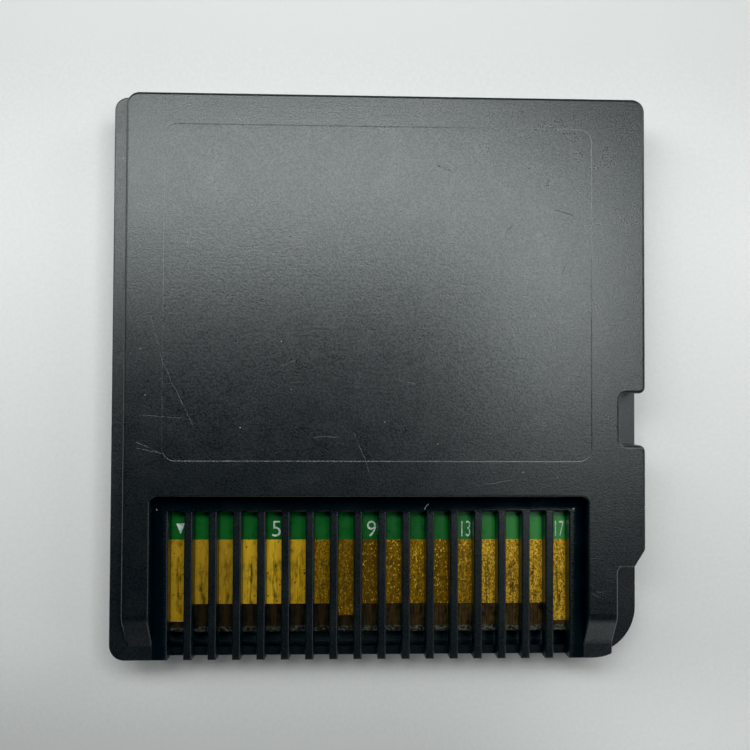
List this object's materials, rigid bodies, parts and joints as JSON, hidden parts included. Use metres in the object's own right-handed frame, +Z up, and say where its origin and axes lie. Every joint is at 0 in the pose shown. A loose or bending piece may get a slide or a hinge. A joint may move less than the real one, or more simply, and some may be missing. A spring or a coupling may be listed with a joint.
{
  "type": "game cartridge",
  "caption": "Flat handheld-console game cartridge: two dark moulded half shells around a circuit board, with gold contacts behind a comb of ribs and a latch notch in one edge.",
  "frame": {"origin": "centre of the card's outline, on the label face that it lies on", "axes": "+Z up through the card's thickness to the contact side, +Y along the card away from the contact end, +X across it to the notched edge"},
  "size_m": [0.033, 0.0348, 0.0038],
  "materials": {
    "shell_back": "fine moulded grain, lightly scratched",
    "shell_front": "fine moulded grain",
    "board": "bare glass-epoxy laminate",
    "mask": "glossy green coating",
    "contact": "worn gold plating",
    "chip": "moulded package",
    "lead": "tinned",
    "capacitor": "fired ceramic",
    "resistor": "coated ceramic"
  },
  "bodies": {
    "root": {"back_shell": "shell_back", "capacitor_1": "capacitor", "capacitor_2": "capacitor", "capacitor_3": "capacitor", "circuit_board": "board", "contact_pad_01": "contact", "contact_pad_02": "contact", "contact_pad_03": "contact", "contact_pad_04": "contact", "contact_pad_05": "contact", "contact_pad_06": "contact", "contact_pad_07": "contact", "contact_pad_08": "contact", "contact_pad_09": "contact", "contact_pad_10": "contact", "contact_pad_11": "contact", "contact_pad_12": "contact", "contact_pad_13": "contact", "contact_pad_14": "contact", "contact_pad_15": "contact", "contact_pad_16": "contact", "contact_pad_17": "contact", "front_shell": "shell_front", "memory_chip": "chip", "memory_chip_leads": "lead", "resistor_1": "resistor", "resistor_2": "resistor", "save_chip": "chip", "save_chip_leads": "lead", "solder_mask": "mask"}
  },
  "joints": []
}
